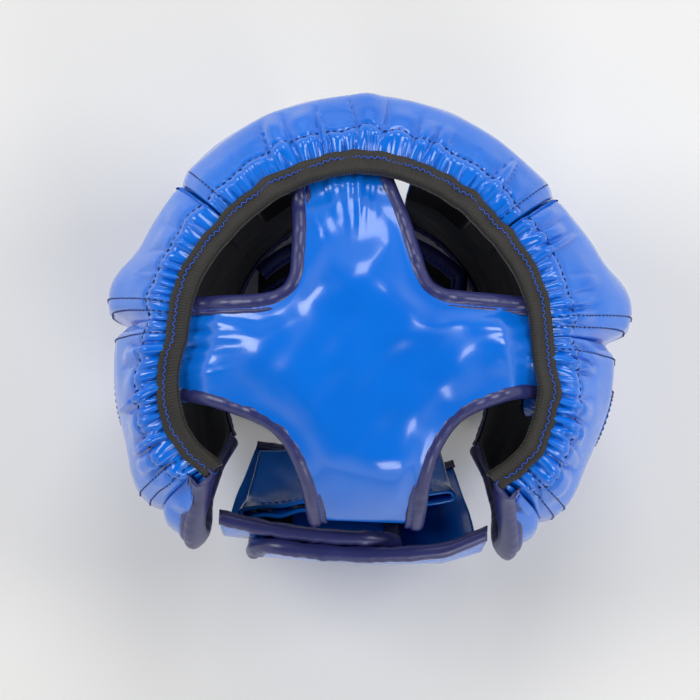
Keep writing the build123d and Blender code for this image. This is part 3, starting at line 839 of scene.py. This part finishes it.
def crown_relief(x, y, gap):
    """Soft padding and puckers of the crown's upper face."""
    angle, radius = np.degrees(np.arctan2(x, y)), np.hypot(x, y)
    reach = along(RIM_R, np.abs(angle)) - ELASTIC_W
    inward = reach - radius
    fold, big, far = (v[0] for v in gathers(91, angle[None], 0 * angle[None] + 5, 4.6, 0.0))
    drawn = np.exp(-(np.maximum(inward, 0) / (9 + 15 * far)) ** 2) * (y > -40)
    puckers = 2.6 * (0.3 + big) * (fold - 0.55) * drawn
    broad = 2.6 * ripple(93, [(62, 0.6), (34, 0.4), (20, 0.14)], x, y)
    ridge = 1.8 * np.exp(-((y - 0.28 * x + 4) / 7) ** 2) * ease((x - 2) / 20)
    hollow = -1.6 * np.exp(-((x + 8) ** 2 / 500 + (y - 12) ** 2 / 60))
    pull = 0.5 * ripple(94, [(13, 0.6)], gap * 0.35, x + y) * np.exp(-(gap / 16) ** 2)
    pad = 2.6 * (1 - np.exp(-(np.maximum(gap - 6.5, 0) / 8) ** 2))
    return pad + (puckers + broad * 0.8 + ridge + hollow + pull) * ease((gap - 6) / 9)


def crown_sheet():
    """Plan cells of the cross: (plan points, cells, distance of each point from the taped edges)."""
    xs = np.arange(-95, 95.1, CROWN_STEP)
    ys = np.linspace(ARM_END_Y, 96, int((96 - ARM_END_Y) / CROWN_STEP) + 1)
    x, y = np.meshgrid(xs, ys)
    plan = np.stack([x, y], -1).reshape(-1, 2)
    centres = plan.reshape(len(ys), len(xs), 2)
    middle = (centres[:-1, :-1] + centres[1:, 1:]).reshape(-1, 2) / 2
    inside_cell = nearest_on(crown_outline, middle)[2]
    radius = np.hypot(*middle.T)
    limit = along(RIM_R, np.degrees(np.arctan2(np.abs(middle[:, 0]), middle[:, 1]))) - 3.5
    inside_cell &= (radius < limit) | (middle[:, 1] < -50)
    cells = np.array(grid_faces(len(ys), len(xs)))[inside_cell]
    used, cells = np.unique(cells, return_inverse=True)
    plan, cells = plan[used], cells.reshape(-1, 4)
    gap, place, inside = nearest_on(crown_outline, plan)
    fixed = np.where((~inside & (gap < 2 * CROWN_STEP))[:, None], place, plan)
    fixed[:, 1] = np.maximum(fixed[:, 1], ARM_END_Y)
    taped = np.full(len(plan), 1e9)
    for line in crown_edges.values():
        for a in line:
            taped = np.minimum(taped, np.linalg.norm(fixed - a, axis=-1))
    return fixed, cells, taped


def slab_piece(name, upper, lower, cells, material):
    """Closed piece between two sheets of the same cells."""
    count = len(upper)
    edges = np.concatenate([cells[:, [i, (i + 1) % 4]] for i in range(4)])
    key = np.sort(edges, axis=1)
    _, first, number = np.unique(key, axis=0, return_index=True, return_counts=True)
    rim = edges[first[number == 1]]
    walls = np.stack([rim[:, 1], rim[:, 0], rim[:, 0] + count, rim[:, 1] + count], -1)
    faces = np.concatenate([cells, cells[:, ::-1] + count, walls]).tolist()
    piece = make_mesh(name, np.concatenate([upper, lower]), faces, material)
    turn_outward(piece)
    return piece


plan, crown_cells, taped_gap = crown_sheet()
px, py = plan.T
dive = crown_dive(px, py)
pinch = np.exp(-(taped_gap / 5) ** 2)
crown_top = crown_height(px, py) - 2.9 + crown_relief(px, py, taped_gap) - dive
crown_base = crown_height(px, py) - 8.3 + 0.8 * pinch - dive
crown_pad = slab_piece("crown_pad", np.stack([px, py, crown_top], -1), np.stack([px, py, crown_base], -1),
                       crown_cells, leather)
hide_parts("crown_cover", "crown_foam", "crown_arm_cover", "crown_arm_foam")
crown_lining = slab_piece("crown_lining_cloth", np.stack([px, py, crown_base - 0.15], -1),
                          np.stack([px, py, crown_base - 1.3], -1), crown_cells, pile_cloth)
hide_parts("crown_lining", "crown_arm_lining")


def bend_at_crown(piece):
    """Bakes a crown piece's placement into its points."""
    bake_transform(piece)


bend_at_crown(crown_pad)
bend_at_crown(crown_lining)
CROWN_TAPES = {"front_right": ["crown_front_binding_right"], "front_left": ["crown_front_binding_left"],
               "rear_right": ["crown_arm_binding_right"],
               "rear_left": ["crown_arm_binding_left", "crown_side_bindings"]}
for seed, (name, line) in enumerate(crown_edges.items()):
    reach = along(RIM_R, np.degrees(np.arctan2(np.abs(line[:, 0]), line[:, 1]))) - 4
    line = line[(np.hypot(*line.T) < reach) | (line[:, 1] < -50)]
    x, y = line.T
    level = crown_height(x, y) - 5.4 - crown_dive(x, y)
    edge = np.stack([x, y, level], -1)
    way = unit(np.gradient(edge, axis=0))
    inward = unit(np.cross(way, [0, 0, 1.0]))
    slant = unit(np.cross(inward, way))
    slant *= np.sign(slant[:, 2:])
    body = "shell" if "front" in name else None
    for piece in build_tape("crown_" + name + "_tape", edge, inward, slant, CROWN_HALF, body,
                            CROWN_TAPES[name], 101 + 3 * seed):
        if "rear" in name:
            bend_at_crown(piece)

# --- Rear closure straps -------------------------------------------------------------------
# Two thin padded flaps that overlap across the back, the outer one from the wearer's right.
# Each is leather over a sheet of foam, taped round its free edges.
STRAP_LOW, STRAP_HIGH = 27.0, 138.0  # mm
STRAP_HALF = 2.1
TIP_LONG = 22.0


def closure_y(x, z):
    """Middle of the inner strap: bulging at the girth and leaning in to the nape."""
    middle = along([(20, -47), (27, -50), (60, -78), (100, -99), (138, -95), (145, -93)], z)
    ends = along([(20, 5), (60, 8), (100, 4), (138, 9), (145, 9)], z)
    return middle + ends * (x / 72) ** 2


def outer_shift(x):
    """How far the outer strap lies outside the inner one."""
    return 8.4 * np.clip((82 - x) / 34, 0, 1)


def strap_place(root, tip, across, upward, inset, shift):
    """Middle face of a strap from the right: across from root to tip, upward from low to high edge."""
    from_tip = (root - tip) * (1 - across) + inset
    narrow = np.clip((TIP_LONG - from_tip) / TIP_LONG, 0, 1)
    corner = 29 * (1 - np.sqrt(1 - 0.98 * narrow ** 2))
    low, high = STRAP_LOW + inset + corner, STRAP_HIGH - inset - corner
    z = low + (high - low) * upward
    start = along([(27, root - 11), (84, root), (138, root + 2)], z)
    x = start + (tip + inset - start) * across
    return np.stack([x, closure_y(x, z) - (outer_shift(x) if shift else 0), z], -1)


def build_strap(name, root, tip, shift, sign, seed):
    across, upward = np.meshgrid(np.linspace(0.002, 1, 110), np.linspace(0, 1, 70))
    mirror = np.array([sign, 1, 1])
    middle = strap_place(root, tip, across, upward, 1.7, shift) * mirror
    up = normals(middle)
    up *= -np.sign(up[35, 50, 1])
    edge_gap = np.minimum(np.minimum(upward, 1 - upward) * 100, (1 - across) * (root - tip))
    half = STRAP_HALF - 0.9 * np.exp(-(edge_gap / 3) ** 2)
    wave = 0.9 * ripple(seed, [(60, 0.6), (30, 0.35)], middle[..., 0], middle[..., 2]) * ease(edge_gap / 20)
    outer, inner = middle + up * (half + wave * 0.5)[..., None], middle - up * half[..., None]
    grid = np.concatenate([outer, inner[::-1]])
    pad = tube_grid(name + "_pad", grid, leather)
    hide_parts(name + "_cover", name + "_foam", name + "_lining")

    top = strap_place(root, tip, np.linspace(0, 1, 110), np.ones(110), 0, shift)
    end = strap_place(root, tip, np.ones(40), np.linspace(1, 0, 40), 0, shift)[1:-1]
    edge = np.concatenate([top, end, strap_place(root, tip, np.linspace(1, 0, 110), np.zeros(110), 0, shift)])
    edge = smooth_line(edge[::6].tolist() + [edge[-1].tolist()], 1.3)
    for _ in range(6):
        edge[1:-1] = (edge[:-2] + edge[1:-1] * 2 + edge[2:]) / 4
    x, z = edge[:, 0], edge[:, 2]
    lean = np.gradient(closure_y(x, np.linspace(20, 145, 126)[:, None] + 0 * x), axis=0)
    slope = np.array([np.interp(h, np.linspace(20, 145, 126), lean[:, i]) for i, h in enumerate(z)])
    outward = unit(np.stack([0 * z, -np.ones(len(z)), slope], -1)) * mirror
    edge = edge * mirror
    way = unit(np.gradient(edge, axis=0))
    inward = unit(np.cross(way, outward))
    centre = edge.mean(0)
    inward *= np.sign(((centre - edge) * inward).sum(-1, keepdims=True).sum())
    made = build_tape(name + "_tape", edge, inward, outward, STRAP_HALF + 0.25, None, [name + "_binding"],
                      seed + 3, faces_sewn=(1, -1))
    for piece in [pad] + made:
        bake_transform(piece)


build_strap("outer_strap", 67, -54, True, 1, 131)
build_strap("inner_strap", 66, -26, False, -1, 141)

# --- Hook and loop tape --------------------------------------------------------------------
# Black woven nylon tape: stiff moulded hooks on one side of each closure, brushed loops on the
# other. These are the frame's own flat patches, sewn on, so they only need their faces.


def fastener_tape(name, code, cell, depth, rough):
    """Nylon fastener tape: rows of hooks or a felted field of loops over a woven ground."""
    material, tree, shader = new_material(name)
    at = add(tree, "ShaderNodeTexCoord")
    rows = add(tree, "ShaderNodeTexVoronoi", {"Scale": 1 / (cell * MM), "Randomness": 0.35},
               {"Vector": (at, "Object")})
    fluff = add(tree, "ShaderNodeTexNoise", {"Scale": 1 / (3 * cell * MM), "Detail": 4.0},
                {"Vector": (at, "Object")})
    tone = add(tree, "ShaderNodeMix", {"data_type": "RGBA"}, {"Factor": (fluff, "Fac")})
    tone.inputs[6].default_value = srgb("#050506")
    tone.inputs[7].default_value = srgb(code)
    bump = add(tree, "ShaderNodeBump", {"Strength": 0.9, "Distance": depth * MM},
               {"Height": (rows, "Distance")})
    tree.links.new(tone.outputs[2], shader.inputs["Base Color"])
    tree.links.new(bump.outputs["Normal"], shader.inputs["Normal"])
    shader.inputs["Roughness"].default_value = rough
    return material


hooks = fastener_tape("nylon_hook_tape", "#2A2A2E", 1.4, 0.8, 0.5)
loops = fastener_tape("nylon_loop_tape", "#1C1C1F", 0.7, 0.4, 0.9)
for node, cloth in (("outer_strap_hook_patch", hooks), ("crown_arm_hook_patch", hooks),
                    ("chin_strap_hook_patch", hooks), ("inner_strap_closure_loop", loops),
                    ("inner_strap_loop_patch", loops)):
    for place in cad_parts[node].material_slots:
        place.material = cloth

# --- Neck sleeve ---------------------------------------------------------------------------
# A flat sleeve of unpadded leather that lines the closure behind the neck. Both its layers are
# one sheet folded at the two ends, where the fold stays open in a small loop.
SLEEVE_T = 1.3  # mm
SLEEVE_GAP = 3.6


def sleeve_loop(radius, upward):
    """Points round the sleeve at the given heights, radius from the middle of its gap."""
    f = np.linspace(0, 1, 70)
    turn = np.linspace(0, math.pi, 11)[1:-1]
    share = np.concatenate([f, np.ones(9), f[::-1], np.zeros(9)])
    depth = np.concatenate([-radius + 0 * f, -radius * np.cos(turn), radius + 0 * f, radius * np.cos(turn)])
    beyond = np.concatenate([0 * f, radius * np.sin(turn), 0 * f, -radius * np.sin(turn)])
    share, depth, beyond = (np.append(v, v[0]) for v in (share, depth, beyond))
    g = upward[:, None]
    x_low, x_high = -51 + 97 * share, -55 + 104 * share
    y_low, y_high = -50 + 7 * share, -83 + 13 * share
    z_low, z_high = 47 - 3 * share, 127 + 2 * share
    bow = 5 * np.sin(math.pi * g) * (1 - 0.4 * share)
    slack = 1.1 * ripple(151, [(38, 0.7), (17, 0.35)], x_high + 0 * g, 60 * g) * (0.4 + 0.6 * g)
    crease = 1.0 * np.sign(depth) * ripple(152, [(26, 0.7)], x_high + 0 * g, 40 * g) * g ** 2
    x = x_low + (x_high - x_low) * g + beyond * (1 + 0.6 * g)
    y = y_low + (y_high - y_low) * g - bow - 2.45 - depth * (1 + 0.35 * g) - slack - crease * 0.5
    z = z_low + (z_high - z_low) * g + 0.8 * ripple(153, [(40, 0.7)], x_high + 0 * g, 5 * g) * g
    return np.stack([x, y, z], -1)


upward = np.linspace(0, 1, 46)
outside = sleeve_loop(SLEEVE_GAP / 2 + SLEEVE_T / 2, upward)
inside = sleeve_loop(SLEEVE_GAP / 2 - SLEEVE_T / 2, upward[::-1])
sleeve = tube_grid("neck_sleeve", np.concatenate([outside, inside]), leather, caps=False)
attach(sleeve, "inner_strap")
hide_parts("neck_sleeve_inner", "neck_sleeve_outer")
mouth, mouth_up = outside[-4], normals(outside)[-4]
for name, part in (("front", slice(4, 66)), ("rear", slice(84, 145))):
    sign = np.sign((mouth_up[part][:, 1] * (1 if name == "front" else -1)).mean())
    sew("neck_sleeve_mouth_stitches_" + name, mouth[part], mouth_up[part] * sign, "inner_strap", blue_thread)

# --- Chin strap ----------------------------------------------------------------------------
# A leather strap with a loop-fabric inside and a cup in its middle, taped all round, that hooks
# on to a short tab from the other guard. Both swing down from the lower edges of the guards.
CHIN_R, CHIN_W, CHIN_CUP = 83.0, 27.0, 20.0


def chin_place(x, across, inset, base):
    """Point of the strap at x: across from its rear edge to its front one."""
    front = np.sqrt(CHIN_R ** 2 - x ** 2)
    cup = CHIN_CUP * np.maximum(0, 1 - (x / 20) ** 2) ** 2
    rear = front - CHIN_W + inset
    y = rear + (front + cup - inset - rear) * across
    return np.stack(np.broadcast_arrays(x, y, 5 + 7 * (x / 62) ** 2 + base + 2.4 + 0 * across), -1)


def build_chin(name, x0, x1, base, seed):
    across, along_x = np.meshgrid(np.linspace(0, 1, 30), np.linspace(x0 + 1.5, x1 - 1.5, 110), indexing="ij")
    middle = chin_place(along_x, across, 1.6, base)
    wave = 0.25 * ripple(seed, [(30, 0.7)], middle[..., 0], middle[..., 1])
    for part, low, high, material, slot in (("leather", -0.95, -0.05, leather, "blue_leather"),
                                            ("lining_cloth", 0.05, 0.9, loops, "loop_tape")):
        up = np.array([0, 0, 1.0])
        sag = wave * 0.5 if part == "leather" else 0 * wave
        lower = middle + up * (low + sag)[..., None]
        grid = np.concatenate([middle + up * high, lower[::-1]])
        piece = tube_grid(f"{name}_{part}", grid, material)
        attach(piece, name)
        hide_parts(name + ("_cover" if part == "leather" else "_lining"))
    n = 90
    front = chin_place(np.linspace(x0, x1, n), np.ones(n), 0, base)
    rear = chin_place(np.linspace(x1, x0, n), np.zeros(n), 0, base)
    edge = np.concatenate([front, rear])
    edge = smooth_line(edge[::4].tolist() + [edge[-1].tolist()], 1.3)
    way = unit(np.gradient(edge, axis=0))
    up = np.array([[0, 0, 1.0]] * len(edge))
    inward = unit(np.cross(way, up))
    inward *= np.sign(((edge.mean(0) - edge) * inward).sum())
    build_tape(name + "_tape", edge, inward, up, 1.0, name, [name + "_binding"], seed + 2,
               faces_sewn=(1, -1))


build_chin("chin_strap", -61, 46, 0, 161)
build_chin("chin_tab", 22, 61, 6.6, 171)

# --- Ear holes -----------------------------------------------------------------------------
# An oval hole through each ear pad over the ear, with a rolled leather edge sewn round it.
EAR_AT, EAR_Z = 102.0, 96.0
EAR_HALF = (10.0, 17.0)  # mm across and up
EAR_R = 120.0


def ear_ring(sign, grow, radius_of):
    """Points round the hole, grown by some mm, on the face whose radius is given."""
    turn = np.linspace(0, 2 * math.pi, 65)
    z = EAR_Z + (EAR_HALF[1] + grow) * np.sin(turn)
    angle = EAR_AT + np.degrees((EAR_HALF[0] + grow) * np.cos(turn) / EAR_R)
    return polar(sign * angle, radius_of(sign * angle, z), z)


for side, sign in (("right", 1), ("left", -1)):
    ring = ear_ring(sign, 0, lambda a, z: 0 * z + EAR_R)[:-1]
    outward = unit(polar(sign * EAR_AT, 1.0, 0.0))
    count = len(ring)
    walls = [[i, (i + 1) % count, (i + 1) % count + count, i + count] for i in range(count)]
    ends = [list(range(count))[::-1], list(range(count, 2 * count))]
    tube = np.concatenate([ring - outward * 50, ring + outward * 50])
    punch = make_mesh("punch", tube, walls + ends, leather)
    turn_outward(punch)
    pad = bpy.data.objects[side + "_ear_pad"]
    cut = pad.modifiers.new("hole", "BOOLEAN")
    cut.object, cut.operation, cut.solver = punch, "DIFFERENCE", "EXACT"
    bpy.context.view_layer.update()
    cut_mesh = bpy.data.meshes.new_from_object(pad.evaluated_get(bpy.context.evaluated_depsgraph_get()))
    pad.modifiers.clear()
    pad.data = cut_mesh
    bpy.data.objects.remove(punch)

    cloth = bpy.data.objects[side + "_ear_lining_cloth"].data
    work = bmesh.new()
    work.from_mesh(cloth)
    gone = []
    for face in work.faces:
        place = face.calc_center_median() / MM - Vector((0, SHIFT_Y, 0))
        off = (math.degrees(math.atan2(abs(place.x), place.y)) - EAR_AT) * math.pi / 180 * EAR_R
        if (off / (EAR_HALF[0] + 1)) ** 2 + ((place.z - EAR_Z) / (EAR_HALF[1] + 1)) ** 2 < 1:
            gone.append(face)
    bmesh.ops.delete(work, geom=gone, context="FACES")
    work.to_mesh(cloth)
    work.free()

    turns = np.linspace(0, 2 * math.pi, 11)[:-1]
    roll = [ear_ring(sign, 1.3 + 1.8 * math.cos(t), lambda a, z: outer_r(a, z) - 0.8 + 1.4 * math.sin(t))
            for t in turns]
    edge_roll = tube_grid(side + "_ear_hole_roll", np.array(roll), leather, caps=False)
    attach(edge_roll, "shell")
    line = ear_ring(sign, 4.5, outer_r)
    sew(side + "_ear_hole_stitches", line + outward * 0.2, outward + 0 * line, "shell", navy_thread)

# --- Camera, light and floor ---------------------------------------------------------------
# Seen from straight above and a little behind, in a white studio: a soft light on each side, one
# ahead, a low one behind, walls that are bright near the floor, and a pale floor.
RIM_LEVEL = 0.2  # m
DISTANCE = 0.9
LENS = 96.2743  # mm, on a 36 mm sensor
ELEVATION, ROLL = 85, 2.26  # degrees
camera_data = bpy.data.cameras.new("camera")
camera = bpy.data.objects.new("camera", camera_data)
bpy.context.scene.collection.objects.link(camera)
camera_data.sensor_width = 36
camera_data.lens = LENS
elevation, roll = math.radians(ELEVATION), math.radians(ROLL)
back = Vector((0, -math.cos(elevation), math.sin(elevation)))
turn = (-back).to_track_quat("-Z", "Y").to_matrix().to_4x4() @ Matrix.Rotation(roll, 4, "Z")
right, up_way = turn.col[0].to_3d(), turn.col[1].to_3d()
target = Vector((0, SHIFT_Y * MM, RIM_LEVEL)) - right * 0.0048 - up_way * 0.0048
camera.matrix_world = Matrix.Translation(target + back * DISTANCE) @ turn
bpy.context.scene.camera = camera
bpy.context.scene.view_settings.view_transform = "Standard"

world = bpy.data.worlds.new("studio")
bpy.context.scene.world = world
world.use_nodes = True
sky = world.node_tree
way = add(sky, "ShaderNodeTexCoord")
height = add(sky, "ShaderNodeSeparateXYZ", links={"Vector": (way, "Generated")})
wall = add(sky, "ShaderNodeMapRange", {"From Min": 0.15, "From Max": 0.7, "To Min": 1.0, "To Max": 0.06},
           {"Value": (height, "Z")})
sky.links.new(wall.outputs["Result"], sky.nodes["Background"].inputs["Strength"])
sky.nodes["Background"].inputs["Color"].default_value = (1.0, 1.0, 1.0, 1)


def soft_light(name, place, size, power):
    """Square area light aimed at the middle of the object."""
    data = bpy.data.lights.new(name, "AREA")
    data.size = size
    data.energy = power
    light = bpy.data.objects.new(name, data)
    light.location = place
    light.rotation_euler = (Vector((0, 0, 0.12)) - Vector(place)).to_track_quat("-Z", "Y").to_euler()
    bpy.context.scene.collection.objects.link(light)


soft_light("left_softbox", (-1.0, 0.25, 1.15), 0.55, 8)
soft_light("right_softbox", (1.0, 0.2, 1.15), 0.55, 7)
soft_light("front_softbox", (0.1, 1.1, 1.3), 0.6, 7)
soft_light("rear_softbox", (0.5, -1.15, 0.95), 0.5, 5)

floor_mesh = bpy.data.meshes.new("floor")
floor_mesh.from_pydata([(-4, -4, 0), (4, -4, 0), (4, 4, 0), (-4, 4, 0)], [], [(0, 1, 2, 3)])
floor = bpy.data.objects.new("floor", floor_mesh)
floor.location.z = -0.0006
bpy.context.scene.collection.objects.link(floor)
paper, tree, shader = new_material("white_paper")
shader.inputs["Base Color"].default_value = srgb("#F2F1EE")
shader.inputs["Roughness"].default_value = 0.7
floor_mesh.materials.append(paper)
